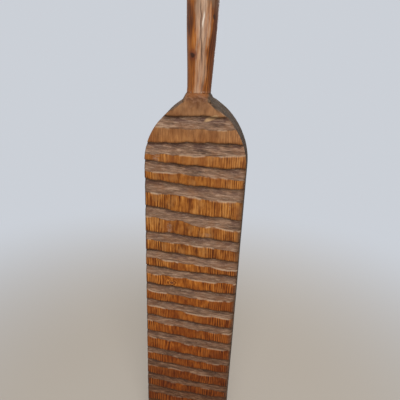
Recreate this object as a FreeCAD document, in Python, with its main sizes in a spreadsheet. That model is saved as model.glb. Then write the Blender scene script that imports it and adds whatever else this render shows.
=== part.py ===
"""Ribbed mangle board: a long wooden board with cross ribs, round shoulders and a round handle.

The board stands on its foot: +Z runs up to the handle, the ribs face -Y, +X is to the right as
one looks at the ribs. The origin is on the ground, under the middle of the board. The handle's
flat tenon sits in a blind mortise in the head, spread by a fox wedge and held by two pegs that
are driven in from the back.
"""
import FreeCAD, Part
import math
import os
import Sketcher

# Driving dimensions, in millimetres.
SIZES = {
    # Board
    "board_width": 110,
    "board_thick": 28,
    "board_length": 469,
    "shoulder_drop": 74,
    "back_stub": 4,
    "front_stub": 10,
    "edge_bevel": 0.8,
    # Ribs
    "first_cut": 23.2,
    "rib_pitch": 24.6,
    "ramp_run": 11.8,
    "cut_depth": 4.2,
    "plain_foot": 26,
    # Neck and handle
    "neck_dia": 24.8,
    "neck_flare": 30,
    "neck_flare_drop": 21,
    "collar_height": 5,
    "taper_height": 80,
    "grip_dia": 32.5,
    "grip_height": 108,
    "grip_radius": 600,
    "handle_length": 150,
    "dome_height": 11,
    # Tenon, wedge and pegs
    "tenon_width": 16,
    "tenon_thick": 9,
    "tenon_length": 50,
    "tenon_gap": 0.1,
    "floor_gap": 1,
    "wedge_length": 18,
    "wedge_butt": 4,
    "wedge_tip": 1,
    "peg_dia": 5,
    "peg_gap": 0.05,
    "peg_bite": 3,
    "peg_stagger": 3.5,
    "peg_bevel": 0.6,
    "upper_peg_drop": 8,
    "lower_peg_drop": 18,
    # How far a cutting tool reaches past the surface that it enters
    "overcut": 2,
}

# The ribs are cut by eye, so no two are alike. Each row is one cut, from the head down: its
# ramp as a share of ramp_run, its slant in degrees (positive falls to the right), and the step
# down to the next cut as a share of rib_pitch. A longer board starts the list again.
CUTS = [
    (1.01, -1.7, 1.08),
    (1.14, -3.3, 0.94),
    (1.08, 0.9, 0.89),
    (1.36, 1.3, 1.36),
    (1.18, 3.2, 1.18),
    (1.03, 0.9, 1.00),
    (1.02, 2.0, 0.84),
    (0.97, 0.0, 1.00),
    (0.99, 0.3, 1.01),
    (0.87, 1.8, 0.96),
    (0.87, 1.7, 0.99),
    (0.97, 1.3, 1.11),
    (0.77, 1.1, 0.85),
    (0.86, 1.1, 0.96),
    (0.83, 0.7, 0.84),
    (1.07, 0.0, 1.00),
]

doc = FreeCAD.newDocument("mangle_board")

sheet = doc.addObject("Spreadsheet::Sheet", "Sizes")
for row, (alias, amount) in enumerate(SIZES.items(), start=1):
    sheet.set(f"A{row}", alias)
    sheet.set(f"B{row}", str(amount))
    sheet.setAlias(f"B{row}", alias)
doc.recompute()


def bound(expression):
    """Write a formula of size names the way the document's expression engine wants it."""
    words = expression.split()
    return " ".join("Sizes." + word if word in SIZES else word for word in words)


def number(expression):
    """The present value of a formula of size names."""
    return float(sheet.evalExpression(bound(expression)))


# Places that several pieces share.
FRONT = "( 0 - board_thick / 2 )"
BACK = "( board_thick / 2 )"
NECK = "( neck_dia / 2 )"
MORTISE_FLOOR = "( board_length - tenon_length - floor_gap )"
PEGS = {
    "lock_peg_upper": ("( 0 - peg_stagger )", "( board_length - upper_peg_drop )"),
    "lock_peg_lower": ("( peg_stagger )", "( board_length - lower_peg_drop )"),
}


def new_body(label):
    body = doc.addObject("PartDesign::Body", label)
    body.Label = label
    return body


def sketch_on(body, role, lift="0"):
    """A sketch on one of the body's own origin planes, lifted along that plane's normal."""
    plane = next(item for item in body.Origin.OriginFeatures if item.Role == role)
    sketch = body.newObject("Sketcher::SketchObject", body.Label + "_sketch")
    sketch.AttachmentSupport = [(plane, "")]
    sketch.MapMode = "FlatFace"
    sketch.setExpression("AttachmentOffset.Base.z", bound(lift))
    return sketch


def hold(sketch, geometry, point, along, expression):
    """Hold one point of the sketch at its distance from the origin along X or Y."""
    rule = Sketcher.Constraint("Distance" + along, -1, 1, geometry, point, number(expression))
    index = sketch.addConstraint(rule)
    sketch.setExpression(f"Constraints[{index}]", bound(expression))


def join(sketch, first, second):
    """Join the end of one curve to the start of the next."""
    sketch.addConstraint(Sketcher.Constraint("Coincident", first, 2, second, 1))


def line(sketch, start, end):
    """A line between two corners, each held at its own X and Y."""
    ends = [FreeCAD.Vector(number(x), number(y), 0) for x, y in (start, end)]
    return sketch.addGeometry(Part.LineSegment(*ends))


def arc(sketch, centre, start, end):
    """An arc, counterclockwise from start to end; all three points are numbers."""
    offset = [(point[0] - centre[0], point[1] - centre[1]) for point in (start, end)]
    angles = [math.atan2(y, x) for x, y in offset]
    radius = math.hypot(*offset[0])
    whole = Part.Circle(FreeCAD.Vector(*centre, 0), FreeCAD.Vector(0, 0, 1), radius)
    return sketch.addGeometry(Part.ArcOfCircle(whole, *angles))


def polygon(sketch, corners):
    """A closed polygon; each corner is a pair of formulas."""
    following = corners[1:] + corners[:1]
    lines = [line(sketch, start, end) for start, end in zip(corners, following)]
    for this_line, next_line in zip(lines, lines[1:] + lines[:1]):
        join(sketch, this_line, next_line)
    for this_line, (x, y) in zip(lines, corners):
        hold(sketch, this_line, 1, "X", x)
        hold(sketch, this_line, 1, "Y", y)


def rectangle(sketch, width, height):
    """A rectangle centred on the sketch's origin."""
    right = f"( {width} ) / 2"
    top = f"( {height} ) / 2"
    left = f"0 - ( {width} ) / 2"
    bottom = f"0 - ( {height} ) / 2"
    polygon(sketch, [(left, bottom), (right, bottom), (right, top), (left, top)])


def circle(sketch, x, y, diameter):
    centre = FreeCAD.Vector(number(x), number(y), 0)
    radius = number(diameter) / 2
    index = sketch.addGeometry(Part.Circle(centre, FreeCAD.Vector(0, 0, 1), radius))
    hold(sketch, index, 3, "X", x)
    hold(sketch, index, 3, "Y", y)
    rule = sketch.addConstraint(Sketcher.Constraint("Diameter", index, 2 * radius))
    sketch.setExpression(f"Constraints[{rule}]", bound(diameter))


def feature(body, kind, sketch, length, side="One side", reverse=False):
    """A Pad or Pocket of the sketch; a Pocket has to take wood away."""
    doc.recompute()
    before = body.Shape.Volume if kind == "Pocket" else 0
    made = body.newObject("PartDesign::" + kind, body.Label + "_" + kind.lower())
    made.Profile = sketch
    made.SideType = side
    made.Reversed = reverse
    made.setExpression("Length", bound(length))
    doc.recompute()
    if kind == "Pocket" and body.Shape.Volume >= before:
        raise RuntimeError(f"{body.Label}: a pocket cuts nothing")
    return made


def edges_of(shape, wanted):
    """Names of the edges whose two ends both pass the test."""
    names = []
    for index, edge in enumerate(shape.Edges, start=1):
        if all(wanted(vertex.Point) for vertex in edge.Vertexes):
            names.append(f"Edge{index}")
    return names


def bevel(body, size, wanted):
    """Chamfer the edges that pass the test."""
    base = body.Tip
    made = body.newObject("PartDesign::Chamfer", body.Label + "_bevel")
    made.Base = (base, edges_of(base.Shape, wanted))
    made.setExpression("Size", bound(size))
    doc.recompute()


def board_outline(body, lift, stub):
    """Outline of the board: straight sides, a shoulder arc each side, and the neck's stub.

    Each arc leaves the straight side without a corner and ends a stub's length below the top.
    """
    sketch = sketch_on(body, "XZ_Plane", lift)
    side = "( board_width / 2 )"
    low = "( board_length - shoulder_drop )"
    high = f"( board_length - {stub} )"
    across = number(side) - number(NECK)
    rise = number(high) - number(low)
    reach = (across ** 2 + rise ** 2) / (2 * across)
    middle = number(side) - reach
    lines = [
        line(sketch, (f"0 - {side}", "0"), (side, "0")),
        line(sketch, (side, "0"), (side, low)),
        arc(sketch, (middle, number(low)), (number(side), number(low)), (number(NECK), number(high))),
        line(sketch, (NECK, high), (NECK, "board_length")),
        line(sketch, (NECK, "board_length"), (f"0 - {NECK}", "board_length")),
        line(sketch, (f"0 - {NECK}", "board_length"), (f"0 - {NECK}", high)),
        arc(sketch, (-middle, number(low)), (-number(NECK), number(high)), (-number(side), number(low))),
        line(sketch, (f"0 - {side}", low), (f"0 - {side}", "0")),
    ]
    for this_line, next_line in zip(lines, lines[1:] + lines[:1]):
        join(sketch, this_line, next_line)
    starts = [
        (f"0 - {side}", "0"),
        (side, "0"),
        (side, low),
        (NECK, high),
        (NECK, "board_length"),
        (f"0 - {NECK}", "board_length"),
        (f"0 - {NECK}", high),
        (f"0 - {side}", low),
    ]
    for this_line, (x, y) in zip(lines, starts):
        hold(sketch, this_line, 1, "X", x)
        hold(sketch, this_line, 1, "Y", y)
    for shoulder in (lines[2], lines[6]):
        hold(sketch, shoulder, 3, "Y", low)
    return sketch


def bevel_long_edges(body):
    """Take the sharp corner off the four long edges; the bevel runs out where the shoulders turn in."""
    for side in ("0 - 1", "1"):
        for face in ("0 - 1", "1"):
            sketch = sketch_on(body, "XY_Plane")
            x = f"( {side} ) * board_width / 2"
            y = f"( {face} ) * board_thick / 2"
            out_x = f"{x} + ( {side} ) * overcut"
            out_y = f"{y} + ( {face} ) * overcut"
            polygon(sketch, [
                (f"{x} - ( {side} ) * ( edge_bevel + overcut )", out_y),
                (out_x, out_y),
                (out_x, f"{y} - ( {face} ) * ( edge_bevel + overcut )"),
            ])
            feature(body, "Pocket", sketch, "board_length", reverse=True)


def round_the_neck(body):
    """Turn the square top of the head down to the round of the handle."""
    sketch = sketch_on(body, "XZ_Plane")
    out = f"{NECK} + neck_flare"
    polygon(sketch, [
        (NECK, "board_length"),
        (out, "board_length - neck_flare_drop"),
        (out, "board_length + overcut"),
        (NECK, "board_length + overcut"),
    ])
    doc.recompute()
    before = body.Shape.Volume
    groove = body.newObject("PartDesign::Groove", "neck_round")
    groove.Profile = sketch
    groove.ReferenceAxis = (sketch, ["V_Axis"])
    groove.Angle = 360
    doc.recompute()
    if body.Shape.Volume >= before:
        raise RuntimeError("the neck's rounding cuts nothing")


def cut_ribs(body):
    """Cut the ribs: each cut goes straight in and comes back out along a ramp further down."""
    steps = 0
    count = 0
    while True:
        ramp_share, slant, step_share = CUTS[count % len(CUTS)]
        top = f"board_length - first_cut - rib_pitch * {steps:.2f}"
        ramp = f"ramp_run * {ramp_share}"
        if number(f"{top} - {ramp} - plain_foot") < 0:
            return count
        sketch = sketch_on(body, "YZ_Plane")
        sketch.AttachmentOffset = FreeCAD.Placement(
            FreeCAD.Vector(0, number(top), 0), FreeCAD.Rotation(FreeCAD.Vector(1, 0, 0), slant))
        sketch.setExpression("AttachmentOffset.Base.y", bound(top))
        polygon(sketch, [
            (f"{FRONT} - overcut", "0"),
            (f"{FRONT} + cut_depth", "0"),
            (f"{FRONT} - overcut", f"0 - {ramp} * ( cut_depth + overcut ) / cut_depth"),
        ])
        feature(body, "Pocket", sketch, "board_width * 2", side="Symmetric")
        steps += step_share
        count += 1


def make_board():
    body = new_body("ribbed_board")
    front = board_outline(body, f"0 - {FRONT}", "front_stub")
    back = board_outline(body, f"0 - {BACK}", "back_stub")
    loft = body.newObject("PartDesign::AdditiveLoft", "board_blank")
    loft.Profile = back
    loft.Sections = [front]
    loft.Ruled = True
    doc.recompute()

    bevel(body, "edge_bevel", lambda point: abs(point.z) < 0.01)
    bevel_long_edges(body)
    round_the_neck(body)

    mortise = sketch_on(body, "XY_Plane", "board_length")
    rectangle(mortise, "tenon_width + 2 * tenon_gap", "tenon_thick + 2 * tenon_gap")
    feature(body, "Pocket", mortise, f"board_length - {MORTISE_FLOOR}")

    for x, z in PEGS.values():
        hole = sketch_on(body, "XZ_Plane", f"0 - {BACK}")
        circle(hole, x, z, "peg_dia + 2 * peg_gap")
        feature(body, "Pocket", hole, f"{BACK} + tenon_thick / 2 + peg_bite", reverse=True)

    print("ribs cut:", cut_ribs(body))
    return body


def handle_profile(body):
    """Half of the handle's outline: collar, taper, barrel-shaped grip and domed end."""
    sketch = sketch_on(body, "XZ_Plane")
    foot = "board_length"
    collar = "( board_length + collar_height )"
    taper = "( board_length + taper_height )"
    grip = "( board_length + grip_height )"
    dome = "( board_length + handle_length - dome_height )"
    tip = "( board_length + handle_length )"
    middle = number("grip_dia / 2 - grip_radius")

    def barrel(height):
        drop = number(height) - number(grip)
        return middle + math.sqrt(number("grip_radius") ** 2 - drop ** 2)

    low = (barrel(taper), number(taper))
    high = (barrel(dome), number(dome))
    rise = number("dome_height")
    dome_radius = (high[0] ** 2 + rise ** 2) / (2 * rise)
    dome_centre = (0, number(tip) - dome_radius)

    lines = [
        line(sketch, ("0", foot), (NECK, foot)),
        line(sketch, (NECK, foot), (NECK, collar)),
        sketch.addGeometry(Part.LineSegment(
            FreeCAD.Vector(number(NECK), number(collar), 0), FreeCAD.Vector(*low, 0))),
        arc(sketch, (middle, number(grip)), low, high),
        arc(sketch, dome_centre, high, (0, number(tip))),
        line(sketch, ("0", tip), ("0", foot)),
    ]
    for this_line, next_line in zip(lines, lines[1:] + lines[:1]):
        join(sketch, this_line, next_line)
    base, rim, slope, barrel_arc, dome_arc, axis = lines
    hold(sketch, base, 1, "X", "0")
    hold(sketch, base, 1, "Y", foot)
    hold(sketch, rim, 1, "X", NECK)
    hold(sketch, rim, 1, "Y", foot)
    hold(sketch, slope, 1, "X", NECK)
    hold(sketch, slope, 1, "Y", collar)
    hold(sketch, barrel_arc, 3, "X", "grip_dia / 2 - grip_radius")
    hold(sketch, barrel_arc, 3, "Y", grip)
    hold(sketch, barrel_arc, 1, "Y", taper)
    hold(sketch, barrel_arc, 2, "Y", dome)
    radius = sketch.addConstraint(Sketcher.Constraint("Radius", barrel_arc, number("grip_radius")))
    sketch.setExpression(f"Constraints[{radius}]", bound("grip_radius"))
    hold(sketch, dome_arc, 3, "X", "0")
    hold(sketch, axis, 1, "X", "0")
    hold(sketch, axis, 1, "Y", tip)
    return sketch


def wedge_outline(sketch, length):
    """The fox wedge from the front: its butt on the mortise's floor, its tip up in the tenon."""
    polygon(sketch, [
        ("0 - wedge_butt / 2", MORTISE_FLOOR),
        ("wedge_butt / 2", MORTISE_FLOOR),
        ("wedge_tip / 2", f"{MORTISE_FLOOR} + {length}"),
        ("0 - wedge_tip / 2", f"{MORTISE_FLOOR} + {length}"),
    ])


def make_handle():
    body = new_body("handle")
    turned = body.newObject("PartDesign::Revolution", "handle_turned")
    profile = handle_profile(body)
    turned.Profile = profile
    turned.ReferenceAxis = (profile, ["V_Axis"])
    turned.Angle = 360
    body.Tip = turned
    doc.recompute()

    tenon = sketch_on(body, "XY_Plane", "board_length")
    rectangle(tenon, "tenon_width", "tenon_thick")
    feature(body, "Pad", tenon, "tenon_length", reverse=True)

    kerf = sketch_on(body, "XZ_Plane")
    wedge_outline(kerf, "wedge_length")
    feature(body, "Pocket", kerf, "tenon_thick * 2", side="Symmetric")

    for x, z in PEGS.values():
        hole = sketch_on(body, "XZ_Plane")
        circle(hole, x, z, "peg_dia + 2 * peg_gap")
        feature(body, "Pocket", hole, "tenon_thick * 2", side="Symmetric")
    return body


def make_wedge():
    body = new_body("fox_wedge")
    sketch = sketch_on(body, "XZ_Plane")
    wedge_outline(sketch, "wedge_length")
    feature(body, "Pad", sketch, "tenon_thick", side="Symmetric")
    return body


def make_peg(label, x, z):
    """A peg, flush with the back, through the tenon and a little way into the front cheek."""
    body = new_body(label)
    sketch = sketch_on(body, "XZ_Plane", f"0 - {BACK}")
    circle(sketch, x, z, "peg_dia")
    feature(body, "Pad", sketch, f"{BACK} + tenon_thick / 2 + peg_bite")
    tip = number("0 - tenon_thick / 2 - peg_bite")
    bevel(body, "peg_bevel", lambda point: abs(point.y - tip) < 0.01)
    return body


def write_parts(bodies):
    """Write one STEP file for each piece, once every object of the document is sound."""
    doc.recompute()
    for item in doc.Objects:
        if "Invalid" in item.State or "Error" in item.State:
            raise RuntimeError(f"{item.Label} has failed: {item.State}")
    for body in bodies:
        if body.Shape.isNull() or not body.Shape.isValid() or len(body.Shape.Solids) != 1:
            raise RuntimeError(f"{body.Label} is not one sound solid")
    os.makedirs("parts", exist_ok=True)
    for body in bodies:
        body.Shape.exportStep(f"parts/{body.Label}.step")
        box = body.Shape.optimalBoundingBox(True, False)
        print(f"{body.Label}: {box.XLength:.2f} x {box.YLength:.2f} x {box.ZLength:.2f} mm,",
              f"{body.Shape.Volume / 1000:.1f} cm3")


pieces = [make_board(), make_handle(), make_wedge()]
pieces += [make_peg(label, x, z) for label, (x, z) in PEGS.items()]
write_parts(pieces)
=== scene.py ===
"""Looks of the ribbed mangle board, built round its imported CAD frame.

Shapes are worked out in millimetres, in the part's own frame, and written to meshes in metres.
The board stands on z = 0 with its ribs towards -Y; "down" is towards its foot.
"""
from dataclasses import dataclass
import math

import bmesh
import bpy
import numpy as np
from mathutils import Matrix, Vector, noise
from mathutils.bvhtree import BVHTree


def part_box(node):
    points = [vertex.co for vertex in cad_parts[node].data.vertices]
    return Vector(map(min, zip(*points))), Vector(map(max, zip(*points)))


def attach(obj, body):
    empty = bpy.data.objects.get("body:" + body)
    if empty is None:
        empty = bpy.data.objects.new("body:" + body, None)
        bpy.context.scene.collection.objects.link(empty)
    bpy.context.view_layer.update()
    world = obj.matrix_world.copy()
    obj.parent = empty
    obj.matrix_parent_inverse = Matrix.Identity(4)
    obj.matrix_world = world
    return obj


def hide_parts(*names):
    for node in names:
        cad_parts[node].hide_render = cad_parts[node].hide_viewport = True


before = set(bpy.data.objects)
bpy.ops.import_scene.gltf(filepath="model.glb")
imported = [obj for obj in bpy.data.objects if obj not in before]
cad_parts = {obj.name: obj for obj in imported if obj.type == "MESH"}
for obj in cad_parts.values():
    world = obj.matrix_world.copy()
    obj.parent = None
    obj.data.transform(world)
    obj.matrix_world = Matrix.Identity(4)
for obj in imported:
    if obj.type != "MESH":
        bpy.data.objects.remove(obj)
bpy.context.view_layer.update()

M = 0.001

# The camera, measured from the middle of the front face this far below the neck's top.
CAMERA_DROP = 53.6
CAMERA_OFFSET = Vector((72.3, -371.0, 84.9))
CAMERA_RIGHT = Vector((0.98210, 0.18447, 0.03800))
CAMERA_UP = Vector((-0.10049, 0.34257, 0.93410))
CAMERA_LENS = 33.21

# Finish of the board and the handle, in millimetres.
LEFT_ARRIS = 1.5
RIGHT_ARRIS = 4.4
ARRIS_DROP = 50.6
ARRIS_FADE = 35.0
SHOULDER_ARRIS = 1.1
BACK_ARRIS = 1.6
FOOT_CORNER = 6.0
FOOT_EDGE = 1.2
NECK_FLARE = 30 / 21
NECK_FILLET = 0.7
NECK_ROUND = 5.0
NECK_WEB = 3.2
NECK_FACE = 11.0
NECK_FADE = 15.0
GRIP_LEAN = 1.1
WALL_LEAN = 0.5
HOLE_GAP = 0.12
OVERCUT = 2.0
TENON_RISE = 4.0
DOME_DROP = 14.0

# Swellings, as (height above the neck's top, reach, rise): at the front of the neck, behind it,
# and where the palm closes round the handle.
NECK_SWELL = (-8.5, 4.0, 2.6)
NECK_HIP = (-6.0, 2.4, 1.0)
PALM_SWELL = (56.0, 22.0, 0.4)

# How a land rolls over into the cut below it: (height above the cut's line, depth, root), where root is
# how much painted shade darkens the land's lower edge.
EDGE_ROLL = ((1.5, 0.02, 0.3), (0.75, 0.12, 0.5), (0.25, 0.32, 0.7), (0.0, 0.75, 0.9))

# How far the middle of each cut hangs below its two ends: where it starts and where it runs out.
SAGS = (
    (-1.9, 1.9), (-0.7, 1.4), (1.7, -0.7), (2.4, 0.7), (1.9, 0.2), (-0.7, -0.2),
    (0.5, 1.0), (2.6, 1.9), (1.4, 2.8), (0.0, 1.7), (0.5, 2.6), (1.2, 3.0),
    (1.7, 1.7), (1.9, 0.5), (1.2, 0.2), (2.3, 1.0), (1.2, 1.2),
)

# Bumps in the lines where a cut runs out: (cut, x, half length, rise).
BUMPS = (
    (0, -38, 9, 1.0), (1, -34, 8, 1.3), (3, -8, 16, 1.0), (4, -12, 9, 1.9), (4, 7, 12, -2.0),
    (6, 5, 9, 0.8), (7, -14, 8, 1.1), (9, 12, 10, -0.8), (11, -20, 12, 1.2), (13, -18, 7, 1.4),
)

# Worn places on the ribs: (x, z, half width, half height, depth).
DENTS = (
    (-41.5, 400.5, 3.6, 8.5, 0.8),
    (-2.9, 371.5, 2.6, 1.8, 1.1),
    (41.2, 353.0, 0.9, 5.5, 0.5),
    (-25.8, 319.5, 3.0, 6.5, 0.7),
    (17.0, 316.0, 5.0, 2.0, 0.4),
)

# A slice split off at the top of the first cut: (x, z, half length, half width, slope).
CHIP = (16.0, 445.4, 7.5, 2.0, 0.43)

# Knots: the board's as (x, z, radius), the handle's as (angle from the front, z, radius), and how
# far the handle's knot lies from the handle's middle.
BOARD_KNOT = (-22.5, 246.5, 2.6)
GRIP_KNOT = (-0.44, 504.3, 1.8)
KNOT_OUT = 13.7

# A dark speck at the handle's right edge: (x, z, half width, half height).
GRIP_SPECK = (13.6, 537.8, 1.1, 2.2)

# The handle's flats: how many go round, and half their depth.
FLAT_COUNT = 9
FLAT_DEPTH = 0.05

# The handle's long crack, and a painted highlight beside it. The highlight's height is above the neck's
# top.
CRACK_WIDTH = 0.45
CRACK_DEPTH = 0.8
GLINT_HEIGHT = 66
GLINT_HALF = 6
GLINT_WIDTH = 0.55
GLINT_OFFSET = 2.4
GLINT_SLANT = 0.12

# Mesh density. ARRIS_PLACES are the outer columns, in millimetres in from the edge.
FRONT_COLUMNS = 116
SIDE_COLUMNS = 7
BACK_COLUMNS = 28
ARRIS_PLACES = (0.0, 0.35, 0.9, 1.6, 2.4, 3.3)
ARRIS_END = 4.3
HEAD_ROWS = 24
LAND_ROWS = 8
RAMP_ROWS = 10
FOOT_ROWS = 20
HANDLE_SEGMENTS = 216
DOME_RINGS = 22
RING_STEP = 0.7


# ---- reading the frame

def corners(node):
    """Lowest and highest corner of a CAD node, in millimetres."""
    low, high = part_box(node)
    return low / M, high / M


def surface(node):
    """A CAD node's surface, to cast rays at."""
    graph = bpy.context.evaluated_depsgraph_get()
    return BVHTree.FromObject(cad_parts[node], graph)


def cast(tree, start, direction):
    """Where a ray meets the surface, in millimetres, or None."""
    hit = tree.ray_cast(Vector(start) * M, Vector(direction))[0]
    return None if hit is None else hit / M


BOARD_LOW, BOARD_HIGH = corners("ribbed_board")
HANDLE_TOP = corners("handle")[1].z
WIDTH = BOARD_HIGH.x - BOARD_LOW.x
THICK = BOARD_HIGH.y - BOARD_LOW.y
LENGTH = BOARD_HIGH.z
FRONT = BOARD_LOW.y
BACK = BOARD_HIGH.y
BOARD = surface("ribbed_board")
HANDLE = surface("handle")


def unit(value):
    """A value kept between 0 and 1."""
    return np.clip(value, 0, 1)


def cuts_along(x, step=0.1, touch=0.15):
    """Heights where the cuts start (going down the board) and where they run out, at one x."""
    starts, ends, deepest = [], [], 0
    inside = False
    on_face = False
    for z in np.arange(LENGTH - 5, 5, -step):
        hit = cast(BOARD, (x, FRONT - 10, z), (0, 1, 0))
        depth = hit.y - FRONT if hit else THICK
        on_face = on_face or depth < touch
        if not on_face:
            continue
        deepest = max(deepest, depth)
        if depth > touch and not inside:
            inside = True
            starts.append(z + step / 2)
        elif depth <= touch and inside:
            inside = False
            ends.append(z + step / 2)
    return np.array(starts), np.array(ends), deepest


def straight(left, right, reach):
    """Straight lines across the board through their heights at x = -reach and +reach."""
    return [((a + b) / 2, (b - a) / (2 * reach)) for a, b in zip(left, right)]


def handle_radius(z):
    """The handle's radius at a height."""
    return cast(HANDLE, (WIDTH, 0, z), (-1, 0, 0)).x


def read_outline():
    """Half widths of the board by height, at levels from front to back behind its cuts."""
    heights = np.concatenate([[0.5, 300.0], np.arange(380.0, LENGTH, 1.0), [LENGTH - 0.05]])
    levels = np.array([-1.0, -0.5, 0.5, 1.0]) * THICK / 3
    widths = [np.array([cast(BOARD, (WIDTH, level, z), (-1, 0, 0)).x for z in heights])
              for level in levels]
    return heights, levels, np.array(widths)


NECK = handle_radius(LENGTH + 1)
OUTLINE_Z, LEVELS, OUTLINE_X = read_outline()


def smaller(first, second, soft):
    """The smaller of two values, with the change from one to the other rounded off."""
    mix = unit(0.5 + 0.5 * (second - first) / np.maximum(soft, 1e-6))
    return second * (1 - mix) + first * mix - soft * mix * (1 - mix)


def swelling(z, shape):
    """A smooth swelling round a height; its shape is (height above the neck's top, reach, rise)."""
    middle, reach, rise = shape
    return rise * np.exp(-((z - LENGTH - middle) / reach) ** 2)


def near_neck(z):
    """1 at the neck's top, fading to 0 a little way down the board."""
    return unit(1 - (LENGTH - z) / NECK_FADE)


def half_width(z, depth):
    """Half the board's width at a height and at a depth between front and back."""
    z = np.asarray(z, dtype=float)
    depth = np.broadcast_to(depth, z.shape)
    lines = np.array([np.interp(z, OUTLINE_Z, line) for line in OUTLINE_X])
    below = np.clip(np.searchsorted(LEVELS, depth) - 1, 0, len(LEVELS) - 2)
    share = (depth - LEVELS[below]) / (LEVELS[below + 1] - LEVELS[below])
    near = np.take_along_axis(lines, below[None], 0)[0]
    far = np.take_along_axis(lines, below[None] + 1, 0)[0]
    low = np.clip(FOOT_CORNER - z, 0, FOOT_CORNER)
    corner = FOOT_CORNER - np.sqrt(FOOT_CORNER ** 2 - low ** 2)
    in_front = unit(0.5 - 1.5 * depth / THICK)
    width = near + (far - near) * share
    width = width + swelling(z, NECK_SWELL) * in_front + swelling(z, NECK_HIP) * (1 - in_front)
    return -smaller(-width, -NECK, NECK_WEB) - corner


# ---- hand-cut unevenness

def ripple(seed, reach, waves):
    """A smooth wavy function of x: a few sines of the given wavelengths with seeded phases."""
    rng = np.random.default_rng(seed)
    phases = rng.uniform(0, 2 * math.pi, len(waves))
    shares = rng.uniform(0.5, 1.0, len(waves))
    shares = shares / np.sqrt(np.sum(shares ** 2))

    def at(x):
        total = 0
        for phase, share, wave in zip(phases, shares, waves):
            total = total + share * np.sin(2 * math.pi * x / wave + phase)
        return reach * total
    return at


def grain_noise(points, scale, seed):
    """Blender's noise at each point, with its own scale along X, Y and Z."""
    shift = np.array([17.3, 5.1, 9.7]) * seed
    flat = (points * scale + shift).reshape(-1, 3)
    return np.array([noise.noise(p) for p in flat.tolist()]).reshape(points.shape[:-1])


def hand_line(height, slope, sag, bumps, seed):
    """A cut's start or end line across the board: straight by eye, sagging and a little wavy."""
    slow = ripple(seed, 0.55, (58, 37, 23))
    quick = ripple(seed + 500, 0.14, (12, 7.5))

    def at(x):
        across = 2 * x / WIDTH
        line = height + slope * x - sag * (0.6 - across ** 2) + slow(x) + quick(x)
        for middle, reach, rise in bumps:
            line = line + rise * np.exp(-((x - middle) / reach) ** 2)
        return line
    return at


# ---- the board

@dataclass
class Row:
    """One row of points across the front: its line, its depth and what the wood shows there."""

    height: object
    depth: float
    cut: float = 0.0
    # Root is how much painted shade darkens the row, at the foot of a cut's wall.
    root: float = 0.0
    # Crest is how much pale crest line the row takes: wear and a painted highlight.
    crest: float = 0.0
    run: float = 1.0


def level(height):
    """A level line across the board."""
    return lambda x: height + 0 * x


def between(top, bottom, share, shift=0.0):
    """A line a share of the way down from one line to another, and a little up or down."""
    return lambda x: top(x) + (bottom(x) - top(x)) * share + shift


def land_rows(top, bottom, count, first=False):
    """The full-height land between the line where a ramp runs out and the next cut's edge."""
    rows = []
    if first:
        rows.append(Row(top, 0.0))
    else:
        rows.append(Row(between(top, bottom, 0, 0.5), 0.16, cut=0.75, crest=0.8))
        rows.append(Row(between(top, bottom, 0, 0.0), 0.02, cut=0.3, crest=1.0))
        rows.append(Row(between(top, bottom, 0, -0.5), 0.0, crest=0.5))
    for index in range(count):
        share = (index + 0.5) / count
        shift = 1.6 * share if first else -0.9 + 2.6 * share
        rows.append(Row(between(top, bottom, share, shift), 0.0))
    for shift, depth, root in EDGE_ROLL:
        rows.append(Row(between(top, bottom, 1, shift), depth, root=root))
    return rows


def ramp_rows(top, bottom, count, deep):
    """A cut: the wall that goes straight in, then the ramp back out to full height."""
    # Root values are painted shade: full at the foot of the wall, fading up the ramp.
    rows = [
        Row(between(top, bottom, 0, -WALL_LEAN * 0.3), deep * 0.5, cut=0.6, root=0.9, run=0.0),
        Row(between(top, bottom, 0, -WALL_LEAN * 0.7), deep * 0.88, cut=0.9, root=1.0, run=0.0),
        Row(between(top, bottom, 0, -WALL_LEAN * 1.8), deep * 0.97, cut=1.0, root=0.9, run=0.0),
    ]
    for index in range(count):
        share = (index + 0.7) / (count + 0.4)
        root = max(0.0, 0.85 - share * 2.9)
        shift = -WALL_LEAN * 1.8 * (1 - share) + 0.5 * share
        depth = deep * (1 - share) ** 1.1
        rows.append(Row(between(top, bottom, share, shift), depth, cut=1.0, root=root, run=share))
    return rows


def board_rows():
    """Every row of the front, from the neck's top to the foot."""
    reach = NECK - 2
    left_starts, left_ends, deep = cuts_along(-reach)
    right_starts, right_ends, _ = cuts_along(reach)
    lines = []
    tops = straight(left_starts, right_starts, reach)
    ends = straight(left_ends, right_ends, reach)
    for index, (top, end) in enumerate(zip(tops, ends)):
        top_sag, end_sag = SAGS[index % len(SAGS)]
        bumps = [bump[1:] for bump in BUMPS if bump[0] == index]
        lines.append((hand_line(*top, top_sag, [], 10 + index),
                      hand_line(*end, end_sag, bumps, 60 + index)))
    rows = land_rows(level(LENGTH), lines[0][0], HEAD_ROWS, first=True)
    for (start, end), (following, _) in zip(lines, lines[1:]):
        rows += ramp_rows(start, end, RAMP_ROWS, deep)
        rows += land_rows(end, following, LAND_ROWS)
    start, end = lines[-1]
    foot = level(0)
    rows += ramp_rows(start, end, RAMP_ROWS, deep)
    rows += land_rows(end, foot, FOOT_ROWS)[:-len(EDGE_ROLL)]
    rows += [Row(between(end, foot, 1, rise), 0.0) for rise in (FOOT_EDGE, 0.7, 0.35, 0.1, 0.0)]
    return rows


def front_spacing():
    """Places of the front columns from -1 to 1, closer together at the two arrises."""
    near = np.array(ARRIS_PLACES) / (WIDTH / 2)
    inner = 1 - ARRIS_END / (WIDTH / 2)
    middle = np.linspace(-inner, inner, FRONT_COLUMNS - 2 * len(near))
    return np.concatenate([-1 + near, middle, (1 - near)[::-1]])


def rounding(edge, reach):
    """How far an edge's rounding sets the surface back, by the distance in from the edge."""
    left = unit(1 - edge / reach)
    return reach * 0.85 * (1 - np.sqrt(1 - left ** 2))


def uneven_depth(x):
    """The cuts are not equally deep all the way across."""
    return 0.88 + 0.12 * np.sin(x / 9.0 + 1.0) * np.sin(x / 23.0)


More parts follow.
